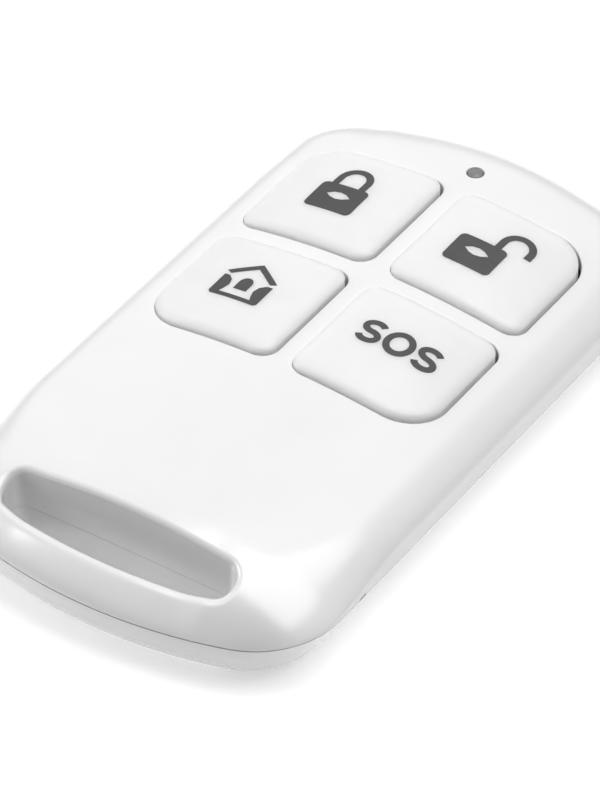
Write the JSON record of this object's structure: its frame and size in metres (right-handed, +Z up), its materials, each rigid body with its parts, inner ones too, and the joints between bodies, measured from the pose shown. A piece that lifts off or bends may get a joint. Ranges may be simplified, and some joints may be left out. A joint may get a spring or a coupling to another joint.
{
  "type": "alarm key fob",
  "caption": "White plastic alarm key fob with rounded domed keys, a keyring slot at one end, a status light and a coin cell radio board inside a snap-together case.",
  "frame": {"origin": "middle of the flat underside, at the centre of the case's length and width", "axes": "+X across the case, +Y along the case from the keyring slot towards the status light, +Z up through the keys"},
  "size_m": [0.031, 0.0556, 0.009],
  "materials": {
    "front_shell_white": "polished moulded plastic",
    "rear_shell_white": "polished moulded plastic",
    "key_white": "satin moulded plastic",
    "board_green": "solder mask",
    "switch_black": "moulded nylon",
    "tin_sheet": "tin plated sheet",
    "plunger_ivory": "moulded nylon",
    "spring_bronze": "spring bronze",
    "led_resin": "clear resin",
    "guide_clear": "clear moulded plastic",
    "chip_black": "moulded epoxy",
    "can_metal": "plated lid",
    "resistor_body": "glazed ceramic",
    "capacitor_body": "fired ceramic",
    "copper_wire": "enamelled copper",
    "cell_steel": "nickel plated steel",
    "contact_nickel": "nickel plated spring steel",
    "screw_steel": "zinc plated steel"
  },
  "bodies": {
    "case": {"front_shell": "front_shell_white", "rear_shell": "rear_shell_white", "circuit_board": "board_green", "lock_switch": "switch_black", "unlock_switch": "switch_black", "home_switch": "switch_black", "sos_switch": "switch_black", "lock_switch_cover": "tin_sheet", "unlock_switch_cover": "tin_sheet", "home_switch_cover": "tin_sheet", "sos_switch_cover": "tin_sheet", "lock_dome": "spring_bronze", "unlock_dome": "spring_bronze", "home_dome": "spring_bronze", "sos_dome": "spring_bronze", "switch_terminals": "tin_sheet", "status_led": "led_resin", "light_guide": "guide_clear", "encoder_chip": "chip_black", "saw_resonator": "can_metal", "rf_transistor": "chip_black", "chip_resistors": "resistor_body", "chip_capacitors": "capacitor_body", "antenna_loop": "copper_wire", "coin_cell": "cell_steel", "battery_clip": "contact_nickel", "battery_contact": "contact_nickel", "board_screws": "screw_steel"},
    "lock_button": {"lock_key": "key_white", "lock_plunger": "plunger_ivory"},
    "unlock_button": {"unlock_key": "key_white", "unlock_plunger": "plunger_ivory"},
    "home_button": {"home_key": "key_white", "home_plunger": "plunger_ivory"},
    "sos_button": {"sos_key": "key_white", "sos_plunger": "plunger_ivory"}
  },
  "joints": [
    {"name": "lock_press", "type": "slide", "parent": "case", "child": "lock_button", "axis": [0, 0, -1], "range_m": [0, 0.0003], "stiffness_N_per_m": 800, "deforming": ["lock_dome"]},
    {"name": "unlock_press", "type": "slide", "parent": "case", "child": "unlock_button", "axis": [0, 0, -1], "range_m": [0, 0.0003], "stiffness_N_per_m": 800, "deforming": ["unlock_dome"]},
    {"name": "home_press", "type": "slide", "parent": "case", "child": "home_button", "axis": [0, 0, -1], "range_m": [0, 0.0003], "stiffness_N_per_m": 800, "deforming": ["home_dome"]},
    {"name": "sos_press", "type": "slide", "parent": "case", "child": "sos_button", "axis": [0, 0, -1], "range_m": [0, 0.0003], "stiffness_N_per_m": 800, "deforming": ["sos_dome"]}
  ]
}
